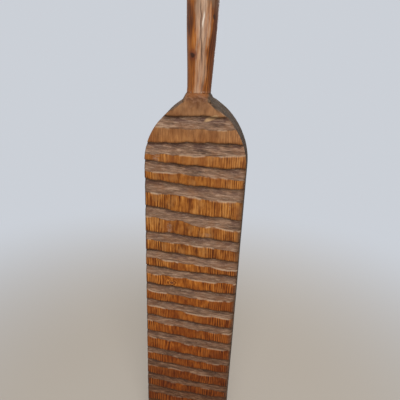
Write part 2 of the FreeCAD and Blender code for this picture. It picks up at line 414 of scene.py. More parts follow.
def behind(y, z):
    """The points from the front's right end round the back to its left end, as x, y and z."""
    share = (np.arange(SIDE_COLUMNS) + 1) / (SIDE_COLUMNS + 1)
    right_y = y[-1] + (BACK - BACK_ARRIS - y[-1]) * share
    left_y = (y[0] + (BACK - BACK_ARRIS - y[0]) * share)[::-1]
    right_z, left_z = z[-1] + 0 * share, z[0] + 0 * share
    back = np.linspace(1, -1, BACK_COLUMNS)
    back = np.sign(back) * (1 - (1 - np.abs(back)) ** 1.25)
    back_z = z[0] + (z[-1] - z[0]) * (back + 1) / 2
    back_half = half_width(back_z, BACK)
    back_y = BACK - rounding((1 - np.abs(back)) * back_half, BACK_ARRIS)
    right_x, left_x = half_width(right_z, right_y), -half_width(left_z, left_y)
    runs = (right_x, back * back_half, left_x), (right_y, back_y, left_y), (right_z, back_z, left_z)
    return [np.concatenate(parts) for parts in runs]


def drawn_in(x, y, z):
    """Points with the foot's lower edge rounded off and the neck drawn in to its flare."""
    low = np.clip(FOOT_EDGE - z, 0, FOOT_EDGE)
    y = y * (1 - (FOOT_EDGE - np.sqrt(FOOT_EDGE ** 2 - low ** 2)) / (THICK / 2))
    drop = LENGTH - z
    limit = NECK + NECK_FLARE * (drop - NECK_FILLET * (1 - np.exp(-drop / NECK_FILLET)))
    radius = np.hypot(x, y)
    pull = smaller(radius, limit, np.minimum(2.5, 0.4 * drop)) / radius
    return np.stack([x * pull, y * pull, z], axis=1)


def board_loop(row, places):
    """A closed loop round the board (front, right side, back, left side) and its worn arris."""
    x = places * WIDTH / 2
    # The width depends on the row's height and the height on x, so a few rounds settle both.
    for _ in range(5):
        x = places * half_width(np.clip(row.height(x), 0, LENGTH), FRONT)
    z = np.clip(row.height(x), 0, LENGTH)
    edge = (1 - np.abs(places)) * half_width(z, FRONT)
    worn = unit((LENGTH - ARRIS_DROP - z) / ARRIS_FADE)
    uneven = 1 + 0.3 * np.sin(z / 13.0) * np.sin(z / 31.0 + 2)
    sides = np.where(places > 0, RIGHT_ARRIS, LEFT_ARRIS) * uneven
    reach = SHOULDER_ARRIS + (sides - SHOULDER_ARRIS) * worn + NECK_ROUND * near_neck(z)
    arris = unit(1.15 - edge / reach) * worn
    y = FRONT + np.maximum(row.depth * uneven_depth(x), rounding(edge, reach))
    x, y, z = [np.concatenate(pair) for pair in zip((x, y, z), behind(y, z))]
    return drawn_in(x, y, z), arris


def new_object(name, data):
    """An object that holds the data, in the scene."""
    made = bpy.data.objects.new(name, data)
    bpy.context.scene.collection.objects.link(made)
    return made


def make_mesh(name, points, faces, attributes):
    """A smooth mesh object from points in millimetres, with named values at its points."""
    mesh = bpy.data.meshes.new(name)
    mesh.from_pydata((points * M).tolist(), [], faces)
    for label, values in attributes.items():
        layer = mesh.attributes.new(label, "FLOAT", "POINT")
        layer.data.foreach_set("value", np.asarray(values, dtype=np.float32))
    mesh.validate()
    mesh.shade_smooth()
    return new_object(name, mesh)


def tube_faces(rings, around):
    """Quads between successive rings of points going down, and a cap at each end."""
    faces = [list(range(around))]
    for ring in range(rings - 1):
        here, below = ring * around, (ring + 1) * around
        for i in range(around):
            j = (i + 1) % around
            faces.append([here + i, below + i, below + j, here + j])
    last = (rings - 1) * around
    faces.append(list(range(last, last + around))[::-1])
    return faces


def roughen_board(grid, cut, root, arris):
    """Tool marks and wear, set back into the surface of a grid of points on the front."""
    strokes = grain_noise(grid, (0.05, 0.2, 0.4), 1)
    small = grain_noise(grid, (0.2, 0.3, 0.7), 2)
    along = grain_noise(grid, (0.4, 0.2, 0.03), 3)
    broad = grain_noise(grid, (0.055, 0.1, 0.03), 4)
    ramp = 0.9 * np.abs(strokes) + 0.3 * small
    land = 0.2 * along + 0.45 * broad + 0.2
    marks = np.where(cut > 0.5, ramp * (1 - 0.6 * root), np.maximum(land, 0))
    x, z = grid[..., 0], grid[..., 2]
    for middle, height, half, tall, depth in DENTS:
        distance = ((x - middle) / half) ** 2 + ((z - height) / tall) ** 2
        marks = marks + depth * np.exp(-distance)
    marks = marks + near_neck(z) * (0.8 * np.abs(small) + 0.5 * (x / NECK) ** 2)
    marks = marks + arris * 0.35 * np.abs(strokes)
    calm = unit((LENGTH - z) / 3) * unit(z / 4)
    grid[..., 1] += np.maximum(marks, 0) * calm


def plane_hidden(hidden):
    """A plane's shallow waves, set into the sides and the back."""
    planed = grain_noise(hidden, (0.035, 0.05, 0.012), 5)
    planed = planed + 0.35 * grain_noise(hidden, (0.3, 0.3, 0.03), 6)
    planed = np.clip(0.12 + 0.3 * planed, 0.03, 1)[..., None]
    inward = np.array([1 / (WIDTH / 2), 1 / (THICK / 2), 0])
    z = hidden[..., 2:3]
    calm = unit((LENGTH - z) / 6) * unit(z / 4)
    hidden -= hidden * inward * planed * calm


def point_values(rows, grid, arris):
    """What the board's wood has to know at each point of its mesh, by name."""
    columns = arris.shape[1]
    of_rows = ("cut", "root", "crest", "run")
    values = {name: np.zeros(grid.shape[:2]) for name in (*of_rows, "arris", "side", "back")}
    for name in of_rows:
        values[name][:, :columns] = np.array([getattr(row, name) for row in rows])[:, None]
    values["arris"][:, :columns] = arris
    across, up = np.abs(grid[:, :columns, 0]), grid[:, :columns, 2] - LENGTH
    face = NECK_FACE + np.maximum(-7 - up, 0) * 1.1
    values["side"][:, :columns] = unit(across - face) * unit((up + 19) / 6)
    values["side"][:, columns:] = 1
    rim = SIDE_COLUMNS + 1
    values["back"][:, columns + rim:grid.shape[1] - rim] = 1
    return values


def make_board():
    """The board: rows of the front, each closed into a loop round the sides and the back."""
    rows = board_rows()
    places = front_spacing()
    columns = len(places)
    loops, arrises = zip(*[board_loop(row, places) for row in rows])
    grid, arris = np.array(loops), np.array(arrises)
    values = point_values(rows, grid, arris)
    roughen_board(grid[:, :columns], values["cut"][:, :columns], values["root"][:, :columns], arris)
    plane_hidden(grid[:, columns:])
    flat = {name: table.ravel() for name, table in values.items()}
    return make_mesh("board", grid.reshape(-1, 3), tube_faces(len(rows), grid.shape[1]), flat)


# ---- the handle

def handle_profile():
    """Radius and height along the handle, from its domed end down to its foot."""
    dome = HANDLE_TOP - DOME_DROP
    profile = []
    for angle in np.radians(np.linspace(88, 0, DOME_RINGS)):
        hit = cast(HANDLE, (0, 0, dome), (math.cos(angle), 0, math.sin(angle)))
        profile.append((hit.x, hit.z))
    heights = np.arange(dome - RING_STEP, LENGTH + 0.3, -RING_STEP)
    profile += [(handle_radius(z), z) for z in heights]
    return profile + [(NECK - 0.08, LENGTH + 0.12), (NECK - 0.25, LENGTH)]


def crack_line(z):
    """Where the handle's long crack runs, as an angle from the front, and how open it is."""
    up = z - LENGTH
    angle = 0.34 - 0.004 * up + 0.016 * np.sin(z / 5.0) + 0.014 * np.sin(z / 1.9 + 1)
    opening = unit((up - 26) / 14) * unit((92 - up) / 20)
    return angle, opening


def lean(z):
    """How far the handle's middle has drifted to the right on its way up."""
    up = unit((z - LENGTH) / 70)
    return GRIP_LEAN * (1 - (1 - up) ** 2)


def handle_ring(radius, z, around):
    """One ring of points round the handle, and how much crack and painted highlight there is at each."""
    up = (z - LENGTH) / (HANDLE_TOP - LENGTH)
    ends = unit(up * 12) * unit((1 - up) * 6)
    flats = FLAT_DEPTH * (1 - np.cos(FLAT_COUNT * around + 2.5 * up)) * ends
    angle, opening = crack_line(z)
    turn = (around - angle + math.pi) % (2 * math.pi) - math.pi
    crack = opening * np.exp(-(turn * radius / CRACK_WIDTH) ** 2)
    # Where the painted highlight runs, beside the crack.
    above = z - LENGTH - GLINT_HEIGHT
    split = GLINT_OFFSET + GLINT_SLANT * above
    lip = math.exp(-(above / GLINT_HALF) ** 4) * np.exp(-((turn * radius - split) / GLINT_WIDTH) ** 2)
    r = radius + swelling(z, PALM_SWELL) - flats - CRACK_DEPTH * crack
    ring = np.stack([r * np.sin(around), -r * np.cos(around), np.full_like(around, z)], axis=1)
    return ring, crack, lip


def roughen_handle(points):
    """The handle's points with its lumps and its knot, pulled in or out from its middle."""
    x, y, z = points.T
    lumps = 0.25 * grain_noise(points, (0.11, 0.11, 0.025), 7) + 0.04
    lumps = lumps + 0.1 * np.abs(grain_noise(points, (0.4, 0.4, 0.05), 8))
    knot_angle, knot_z, knot_radius = GRIP_KNOT
    across = (np.arctan2(x, -y) - knot_angle) * 14
    knot = np.exp(-(across ** 2 + (z - knot_z) ** 2) / (2 * knot_radius) ** 2)
    calm = unit((z - LENGTH) / 5) * unit((HANDLE_TOP - z) / 6)
    inward = (np.maximum(lumps, 0) - 0.35 * knot) * calm
    size = np.maximum(np.hypot(x, y), 1)
    return points - points * [1, 1, 0] * (inward / size)[:, None]


def make_grip_body():
    """The handle above the board: turned, then scraped by hand into long uneven flats."""
    profile = handle_profile()
    around = np.linspace(0, 2 * math.pi, HANDLE_SEGMENTS, endpoint=False)
    rings, cracks, glints = zip(*[handle_ring(radius, z, around) for radius, z in profile])
    points = roughen_handle(np.concatenate(rings))
    points[:, 0] += lean(points[:, 2])
    # The crack, and the painted highlight beside it, kept at the points.
    wear = {"crack": np.ravel(cracks), "lip": np.ravel(glints)}
    return make_mesh("grip", points, tube_faces(len(rings), HANDLE_SEGMENTS), wear)


def merged(node):
    """A CAD node's mesh, copied, with the points that its faces share joined up."""
    mesh = bmesh.new()
    mesh.from_mesh(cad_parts[node].data)
    bmesh.ops.remove_doubles(mesh, verts=mesh.verts, dist=1e-6)
    return mesh


def boolean(target, tool, operation):
    """Add the tool's solid to the target's, or cut it away, and delete the tool."""
    change = target.modifiers.new("change", "BOOLEAN")
    change.object = tool
    change.operation = operation
    change.solver = "EXACT"
    graph = bpy.context.evaluated_depsgraph_get()
    made = bpy.data.meshes.new_from_object(target.evaluated_get(graph))
    target.modifiers.clear()
    old = target.data
    target.data = made
    made.name = target.name
    bpy.data.meshes.remove(old)
    bpy.data.objects.remove(tool)


def tool_object(mesh):
    """A bmesh as an object to add or cut with."""
    data = bpy.data.meshes.new("tool")
    mesh.to_mesh(data)
    mesh.free()
    return new_object("tool", data)


def make_tenon():
    """The handle's tenon, as it is in the frame, run a little way up into the handle."""
    mesh = merged("handle")
    top = (LENGTH - 0.05) * M
    everything = mesh.verts[:] + mesh.edges[:] + mesh.faces[:]
    bmesh.ops.bisect_plane(mesh, geom=everything, plane_co=(0, 0, top), plane_no=(0, 0, 1),
                           clear_outer=True)
    bmesh.ops.holes_fill(mesh, edges=mesh.edges, sides=0)
    for vertex in mesh.verts:
        if vertex.co.z > top - 1e-5:
            vertex.co.z += TENON_RISE * M
    return tool_object(mesh)


def make_mortise():
    """The pocket that takes the tenon, open at the top of the neck."""
    low, high = Vector((1e3, 1e3, 1e3)), Vector((-1e3, -1e3, -1e3))
    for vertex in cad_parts["handle"].data.vertices:
        if vertex.co.z < (LENGTH - 1) * M:
            low = Vector(map(min, low, vertex.co / M))
            high = Vector(map(max, high, vertex.co / M))
    low -= Vector((HOLE_GAP, HOLE_GAP, 1))
    high += Vector((HOLE_GAP, HOLE_GAP, 0))
    high.z = LENGTH + OVERCUT
    mesh = bmesh.new()
    size, middle = (high - low) * M, (high + low) / 2 * M
    bmesh.ops.create_cube(mesh, size=1, matrix=Matrix.Translation(middle) @ Matrix.Diagonal((*size, 1)))
    return tool_object(mesh)


def make_peg_hole(node):
    """The hole that a peg was driven into, a hair wider than the peg where it shows."""
    low, high = corners(node)
    radius = (high.x - low.x) / 2 + HOLE_GAP
    mesh = bmesh.new()
    length = high.y - low.y + 2 * OVERCUT
    middle = Vector(((low.x + high.x) / 2, low.y - HOLE_GAP + length / 2, (low.z + high.z) / 2)) * M
    turn = Matrix.Rotation(math.pi / 2, 4, "X")
    bmesh.ops.create_cone(mesh, cap_ends=True, segments=32, radius1=radius * M, radius2=radius * M,
                          depth=length * M, matrix=Matrix.Translation(middle) @ turn)
    return tool_object(mesh)


# ---- materials (heights are in millimetres above the foot)

def put(tree, socket, value):
    """Link an output to a socket, or set the socket to a plain value."""
    if isinstance(value, bpy.types.NodeSocket):
        tree.links.new(value, socket)
    elif isinstance(value, tuple) and len(value) == 3 and len(socket.default_value) == 4:
        socket.default_value = (*value, 1)
    else:
        socket.default_value = value


def add_node(tree, kind, inputs, **settings):
    """A new node with these settings, and with inputs given by name or by place."""
    node = tree.nodes.new("ShaderNode" + kind)
    for name, value in settings.items():
        setattr(node, name, value)
    for name, value in inputs.items():
        put(tree, node.inputs[name], value)
    return node


class Wood:
    """A node material under construction; each call adds nodes and returns their output."""

    def __init__(self, name):
        self.material = bpy.data.materials.new(name)
        self.material.use_nodes = True
        self.tree = self.material.node_tree
        self.shader = self.tree.nodes["Principled BSDF"]
        place = self.node("TexCoord", {}).outputs["Object"]
        scaled = self.node("VectorMath", {0: place, 1: (1 / M,) * 3}, operation="MULTIPLY")
        self.place = scaled.outputs[0]
        self.x, self.y, self.z = self.node("SeparateXYZ", {0: self.place}).outputs

    def node(self, kind, inputs, **settings):
        return add_node(self.tree, kind, inputs, **settings)

    def math(self, operation, *values):
        """One of Blender's maths operations on outputs or plain values."""
        return self.node("Math", dict(enumerate(values)), operation=operation).outputs[0]

    def times(self, *values):
        total = values[0]
        for value in values[1:]:
            total = self.math("MULTIPLY", total, value)
        return total

    def plus(self, *values):
        total = values[0]
        for value in values[1:]:
            total = self.math("ADD", total, value)
        return total

    def centred(self, value):
        """A value from 0 to 1, moved to run from -0.5 to 0.5."""
        return self.math("SUBTRACT", value, 0.5)

    def squares(self, *values):
        """The sum of the values' squares."""
        return self.plus(*[self.times(value, value) for value in values])

    def noise(self, scale, detail=3.0, rough=0.55, shift=(0, 0, 0), bend=0.0):
        """Noise from 0 to 1 with its own scale, per millimetre, along X, Y and Z."""
        mapped = self.node("Mapping", {"Vector": self.place, "Scale": scale, "Location": shift})
        inputs = {"Vector": mapped.outputs[0], "Scale": 1.0}
        inputs.update({"Detail": detail, "Roughness": rough, "Distortion": bend})
        return self.node("TexNoise", inputs).outputs["Fac"]

    def value(self, name):
        """A value kept at the mesh's points."""
        return self.node("Attribute", {}, attribute_name=name).outputs["Fac"]

    def ramp(self, factor, *stops):
        """A colour ramp through stops, each a position and a colour."""
        node = self.node("ValToRGB", {0: factor})
        band = node.color_ramp
        while len(band.elements) < len(stops):
            band.elements.new(0.5)
        for element, (position, colour) in zip(band.elements, stops):
            element.position = position
            element.color = (*colour, 1)
        return node.outputs[0]

    def range(self, value, low, high, out_low=0.0, out_high=1.0):
        """A smooth step from one value to another between two limits."""
        inputs = dict(enumerate((value, low, high, out_low, out_high)))
        return self.node("MapRange", inputs, interpolation_type="SMOOTHSTEP").outputs[0]

    def mix(self, factor, first, second, blend="MIX"):
        """The first colour with the second over it, by a factor."""
        inputs = {"Factor": factor, 6: first, 7: second}
        return self.node("Mix", inputs, data_type="RGBA", blend_type=blend).outputs[2]

    def tint(self, colour, tint, share):
        """A colour multiplied by a tint, as far as a share says."""
        return self.mix(share, colour, tint, "MULTIPLY")

    def over(self, colour, paint, *shares):
        """A colour with paint over it, by the product of some shares."""
        return self.mix(self.times(*shares), colour, paint)

    def bump(self, height, distance, below=None):
        """Relief in millimetres, over another relief where one is given."""
        inputs = {"Strength": 1.0, "Distance": distance * M, "Height": height}
        if below is not None:
            inputs["Normal"] = below
        return self.node("Bump", inputs).outputs[0]

    def away(self, value, middle, half):
        """Distance from a middle, in halves."""
        return self.math("DIVIDE", self.math("SUBTRACT", value, middle), half)

    def spot(self, x, z, half_x, half_z, ragged=0.6, turn=0.0):
        """1 inside a ragged ellipse, seen from the front, fading to 0 round its edge."""
        dx, dz = self.math("SUBTRACT", self.x, x), self.math("SUBTRACT", self.z, z)
        cos, sin = math.cos(turn), math.sin(turn)
        across = self.times(self.plus(self.times(dx, cos), self.times(dz, sin)), 1 / half_x)
        up = self.times(self.plus(self.times(dz, cos), self.times(dx, -sin)), 1 / half_z)
        rag = self.times(self.centred(self.noise((0.5, 0.5, 0.3))), 4 * ragged)
        return self.range(self.plus(self.squares(across, up), rag), 1.7, 0.3)

    def rings(self, centre_x, centre_y, spacing, warp, knots=()):
        """Growth rings round a pith that runs along the piece, bent round its knots, 0 to 1."""
        dx = self.math("SUBTRACT", self.x, centre_x)
        dy = self.math("SUBTRACT", self.y, centre_y)
        radius = self.math("SQRT", self.squares(dx, dy))
        bend = self.times(self.noise((0.018, 0.018, 0.006), 2.0), warp)
        wobble = self.times(self.noise((0.1, 0.1, 0.035), 2.0, 0.5, (4, 1, 7)), 2.2)
        turns = self.math("DIVIDE", self.plus(radius, bend, wobble), spacing)
        for x, z, reach in knots:
            square = self.squares(self.away(self.x, x, 3.2 * reach), self.away(self.z, z, 4.5 * reach))
            turns = self.plus(turns, self.times(self.math("EXPONENT", self.times(square, -1.0)), 3.4))
        wave = self.math("SINE", self.times(turns, 2 * math.pi))
        return self.plus(self.times(wave, 0.5), 0.5)

    def finish(self, colour, roughness, normal, shine=0.22, coat=0.0, coat_roughness=0.3):
        """Set what the shader needs and return the finished material."""
        looks = {"Base Color": colour, "Roughness": roughness, "Normal": normal}
        looks.update({"Specular IOR Level": shine, "Coat Weight": coat, "Coat Roughness": coat_roughness})
        for name, value in looks.items():
            put(self.tree, self.shader.inputs[name], value)
        return self.material


def land_colour(wood, stripe):
    """Oiled orange-brown wood: browner at the head, redder and darker towards the foot, the darkening
    partly the wood's tone and partly painted shade.
    """
    colour = wood.ramp(
        stripe,
        (0.35, (0.095, 0.022, 0.004)),
        (0.45, (0.225, 0.068, 0.010)),
        (0.54, (0.345, 0.118, 0.018)),
        (0.66, (0.540, 0.230, 0.052)),
    )
    patch = wood.noise((0.06, 0.05, 0.03), 3.0)
    colour = wood.over(colour, (0.205, 0.056, 0.011), wood.range(patch, 0.45, 0.62), 0.5)
    pale = wood.noise((0.08, 0.05, 0.05), 4.0, 0.6, (7, 3, 2))
    colour = wood.over(colour, (0.450, 0.205, 0.060), wood.range(pale, 0.5, 0.66), 0.4)
    head = wood.range(wood.z, 385.0, 455.0)
    tan = wood.ramp(stripe, (0.38, (0.150, 0.070, 0.030)), (0.62, (0.400, 0.210, 0.098)))
    tan = wood.tint(tan, (0.74, 0.66, 0.60), wood.range(patch, 0.44, 0.6))
    colour = wood.over(colour, tan, head, 0.8)
    right = wood.times(wood.range(wood.x, 12.0, 46.0), wood.range(wood.z, 350.0, 280.0))
    colour = wood.tint(colour, (0.80, 0.72, 0.70), right)
    low = wood.times(wood.range(wood.z, 300.0, 240.0), wood.range(wood.z, 90.0, 150.0))
    colour = wood.tint(colour, (1.12, 1.0, 0.75), low)
    # Darker towards the foot: the wood's own tone, and painted shade.
    foot = wood.range(wood.z, 340.0, 40.0)
    return wood.tint(colour, (0.56, 0.33, 0.14), foot)


def ramp_colour(wood, streak, blotch):
    """Wood cut across its grain, weathered grey-brown, with streaks along the tool's way, painted shade
    low on each ramp under the step, and darker towards the foot, partly as painted shade.
    """
    broad = wood.noise((0.035, 0.2, 0.33), 3.0, 0.5, (3, 6, 5), 0.3)
    even = wood.range(wood.z, 425.0, 350.0, 1.0, 0.62)
    even = wood.plus(even, wood.range(wood.z, 240.0, 100.0, 0.0, 0.25))
    tone = wood.plus(wood.times(streak, 0.5), wood.times(broad, 0.35), wood.times(blotch, 0.15))
    tone = wood.plus(wood.times(wood.centred(tone), even), 0.5)
    worn = wood.ramp(
        tone,
        (0.38, (0.055, 0.028, 0.018)),
        (0.46, (0.158, 0.086, 0.050)),
        (0.53, (0.270, 0.152, 0.092)),
        (0.62, (0.480, 0.320, 0.215)),
    )
    warm = wood.noise((0.05, 0.1, 0.08), 3.0, 0.6, (2, 8, 4))
    worn = wood.over(worn, (0.235, 0.098, 0.040), wood.range(warm, 0.48, 0.64), 0.4)
    # Painted shade: purple-brown patches low on each ramp, under the step above it.
    purple = wood.noise((0.06, 0.1, 0.16), 3.0, 0.5, (6, 1, 9))
    low = wood.times(wood.range(wood.value("run"), 0.8, 0.2), wood.range(purple, 0.46, 0.58))
    low = wood.times(low, wood.range(wood.z, 395.0, 435.0, 0.65, 0.85))
    worn = wood.mix(low, worn, (0.092, 0.043, 0.033))
    scratch = wood.noise((0.13, 0.5, 1.35), 4.0, 0.65, (7, 7, 2))
    worn = wood.over(worn, (0.480, 0.340, 0.240), wood.range(scratch, 0.54, 0.62), 0.42)
    worn = wood.over(worn, (0.066, 0.038, 0.028), wood.range(scratch, 0.46, 0.38), 0.5)
    # Darker towards the foot: the wood's own tone, and painted shade.
    foot = wood.range(wood.z, 270.0, 20.0)
    return wood.tint(worn, (0.56, 0.41, 0.30), foot)


def side_colour(wood):
    """The sawn sides and shoulders: dark with age and painted darker still as shade, most on the lower
    shoulders; paler and greyer on the shoulders' end grain.
    """
    fibre = wood.noise((0.5, 0.25, 0.025), 5.0, 0.6, (9, 2, 5))
    sawn = wood.ramp(
        fibre,
        (0.36, (0.030, 0.017, 0.011)),
        (0.52, (0.068, 0.041, 0.026)),
        (0.66, (0.125, 0.080, 0.053)),
    )
    grey = wood.noise((0.12, 0.5, 0.15), 5.0, 0.65, (1, 5, 3))
    cut = wood.ramp(
        grey,
        (0.36, (0.049, 0.032, 0.020)),
        (0.52, (0.088, 0.057, 0.036)),
        (0.68, (0.145, 0.095, 0.060)),
    )
    # Painted shade: the shoulders darken to the sawn colour further down, away from the neck.
    shoulder = wood.range(wood.z, 395.0, 458.0)
    foot = wood.range(wood.z, 3.0, 0.5)
    rubbed = wood.times(wood.range(wood.z, 450.0, 458.0), wood.range(wood.x, 8.0, -8.0))
    cut = wood.over(cut, (0.190, 0.105, 0.060), rubbed, 0.7)
    return wood.mix(wood.math("MAXIMUM", shoulder, foot), sawn, cut)


def back_colour(wood, stripe):
    """The planed back: duller and browner than the ribs, with darker smears from hands."""
    long = wood.noise((0.4, 0.4, 0.008), 5.0, 0.62, (4, 7, 2))
    broad = wood.noise((0.09, 0.09, 0.004), 2.0, 0.5, (1, 1, 6))
    tone = wood.plus(wood.times(long, 0.5), wood.times(broad, 0.3), wood.times(stripe, 0.2))
    colour = wood.ramp(
        tone,
        (0.38, (0.105, 0.045, 0.018)),
        (0.48, (0.210, 0.100, 0.042)),
        (0.60, (0.345, 0.185, 0.086)),
    )
    pores = wood.noise((1.4, 1.4, 0.05), 3.0, 0.6, (8, 2, 2))
    colour = wood.over(colour, (0.075, 0.036, 0.018), wood.range(pores, 0.56, 0.64), 0.5)
    smear = wood.noise((0.03, 0.1, 0.018), 4.0, 0.6, (3, 3, 8))
    return wood.over(colour, (0.085, 0.047, 0.028), wood.range(smear, 0.45, 0.7), 0.45)


def knot_arcs(wood):
    """Rings that close round the board's knot and fade out away from it."""
    knot_x, knot_z, _ = BOARD_KNOT
    across, up = wood.away(wood.x, knot_x, 1.0), wood.away(wood.z, knot_z, 0.75)
    distance = wood.math("SQRT", wood.squares(across, up))
    wander = wood.noise((0.22, 0.22, 0.12), 2.0, 0.5, (6, 6, 3))
    distance = wood.plus(distance, wood.times(wander, 7.0))
    wave = wood.math("SINE", wood.times(distance, 2.1))
    return wood.times(wave, wood.range(distance, 14.5, 7.0), 0.14)


def board_stripe(wood, fibre):
    """Light and dark along the board's grain, fainter on its worn head and round its middle."""
    wave = wood.rings(-6.0, 24.0, 1.85, 16.0, (BOARD_KNOT,))
    year = wood.range(wood.noise((0.2, 0.2, 0.008), 2.0, 0.5, (1, 2, 3)), 0.35, 0.65, 0.25, 1.0)
    steep = wood.range(wood.math("ABSOLUTE", wood.x), 12.0, 40.0, 0.10, 0.34)
    worn_head = wood.range(wood.z, 450.0, 340.0, 0.15, 1.0)
    rings = wood.times(wood.centred(wave), year, steep, worn_head)
    mottle = wood.noise((0.2, 0.2, 0.06), 4.0, 0.6, (5, 9, 1))
    fine = wood.noise((1.6, 1.0, 0.14), 2.0, 0.5, (3, 4, 8))
    lines = wood.plus(wood.times(wood.centred(fibre), worn_head, 0.5), rings)
    lines = wood.plus(lines, wood.times(wood.centred(fine), 0.2))
    lines = wood.times(lines, wood.range(wood.z, 220.0, 80.0, 1.0, 1.6))
    mottled = wood.times(mottle, wood.plus(0.3, wood.times(worn_head, 0.25)))
    level_out = wood.math("SUBTRACT", 0.35, wood.times(worn_head, 0.125))
    return wood.plus(lines, mottled, knot_arcs(wood), level_out)


def mark_wear(wood, colour):
    """The worn places, the chip and the knot's heart over the board's colour."""
    scuffed = wood.range(wood.noise((0.25, 0.3, 0.8), 4.0, 0.6, (5, 5, 1)), 0.42, 0.58)
    for x, z, half, tall, _ in DENTS:
        scuff = wood.times(wood.spot(x, z, half, tall), scuffed, 0.6)
        colour = wood.mix(scuff, colour, (0.300, 0.190, 0.130))
    x, z, half, tall, turn = CHIP
    chip = wood.spot(x, z, half, tall, 0.25, turn)
    colour = wood.over(colour, (0.540, 0.335, 0.165), chip, 0.9)
    x, z, radius = BOARD_KNOT
    heart = wood.spot(x, z, radius, radius * 0.7, 0.5)
    return wood.over(colour, (0.105, 0.036, 0.020), heart, 0.75)


def mark_edges(wood, colour, streak):
    """The worn arris, the pale crests where cuts run out (wear and painted highlight) and painted shade
    and dirt as dark lines at their roots.
    """
    tan = wood.ramp(streak, (0.38, (0.048, 0.024, 0.012)), (0.62, (0.135, 0.074, 0.040)))
    tan = wood.tint(tan, (0.50, 0.40, 0.34), wood.range(wood.x, -20.0, -40.0))
    colour = wood.over(colour, tan, wood.value("arris"), 0.75)
    # The pale crest lines are wear on the crests and a painted highlight, broken up by noise.
    wear_and_highlight_noise = wood.noise((0.05, 0.1, 0.05), 3.0, 0.55, (3, 7, 1))
    crest = wood.times(wood.value("crest"), wood.range(wear_and_highlight_noise, 0.47, 0.57))
    fade = wood.range(wood.z, 420.0, 340.0, 0.6, 0.8)
    fade = wood.times(fade, wood.range(wood.z, 60.0, 230.0, 0.35, 1.0))
    colour = wood.over(colour, (0.640, 0.450, 0.305), crest, fade)
    # Painted shade and dirt at the root of each cut, under the land's edge: stronger lower down and
    # broken up by noise.
    dirt_and_shade = wood.range(wood.noise((0.06, 0.1, 0.05), 3.0, 0.6, (9, 4, 6)), 0.35, 0.6, 0.55, 0.95)
    dark = wood.times(wood.value("root"), dirt_and_shade, wood.range(wood.z, 340.0, 250.0, 0.8, 1.4))
    return wood.mix(dark, colour, (0.060, 0.022, 0.006))


def mark_neck(wood, colour):
    """The patch that hands have darkened at the neck, and the handle's red running on over it."""
    bruise = wood.noise((0.22, 0.3, 0.35), 5.0, 0.7, (8, 8, 8))
    drift = wood.times(wood.centred(wood.noise((0.12, 0.12, 0.12), 3.0, 0.6, (2, 2, 5))), 26)
    middle = wood.range(wood.plus(wood.math("ABSOLUTE", wood.x), drift), 17.0, 8.0)
    neck = wood.times(wood.range(wood.plus(wood.z, drift), LENGTH - 15, LENGTH - 4), middle)
    handled = wood.ramp(
        bruise,
        (0.36, (0.065, 0.023, 0.010)),
        (0.50, (0.155, 0.062, 0.027)),
        (0.64, (0.275, 0.140, 0.076)),
    )
    colour = wood.over(colour, handled, neck, 0.85)
    collar = wood.range(wood.plus(wood.z, wood.times(drift, 0.25)), LENGTH - 5.5, LENGTH - 0.5)
    return wood.over(colour, (0.270, 0.092, 0.022), collar, 0.65)


def board_wood():
    """The board's material: oiled lands, weathered cuts, dark sides and a planed back."""
    wood = Wood("board_wood")
    fibre = wood.noise((0.9, 0.9, 0.07), 5.0, 0.62)
    stripe = board_stripe(wood, fibre)
    streak = wood.noise((0.05, 0.35, 0.65), 5.0, 0.65, (0, 0, 0), 0.2)
    blotch = wood.noise((0.10, 0.16, 0.22), 4.0, 0.6)
    in_cut = wood.range(wood.plus(wood.value("cut"), wood.times(wood.centred(blotch), 0.6)), 0.35, 0.65)
    colour = wood.mix(in_cut, land_colour(wood, stripe), ramp_colour(wood, streak, blotch))
    colour = mark_wear(wood, colour)
    colour = mark_edges(wood, colour, streak)
    colour = mark_neck(wood, colour)
    side = wood.value("side")
    colour = wood.mix(side, colour, side_colour(wood))
    colour = wood.mix(wood.value("back"), colour, back_colour(wood, stripe))
    rough_cut = wood.times(streak, wood.math("MAXIMUM", in_cut, side))
    relief = wood.bump(rough_cut, 0.8, wood.bump(fibre, 0.22))
    rough = wood.plus(wood.range(in_cut, 0.0, 1.0, 0.42, 0.6), wood.times(side, 0.4))
    return wood.finish(colour, rough, relief, 0.18)


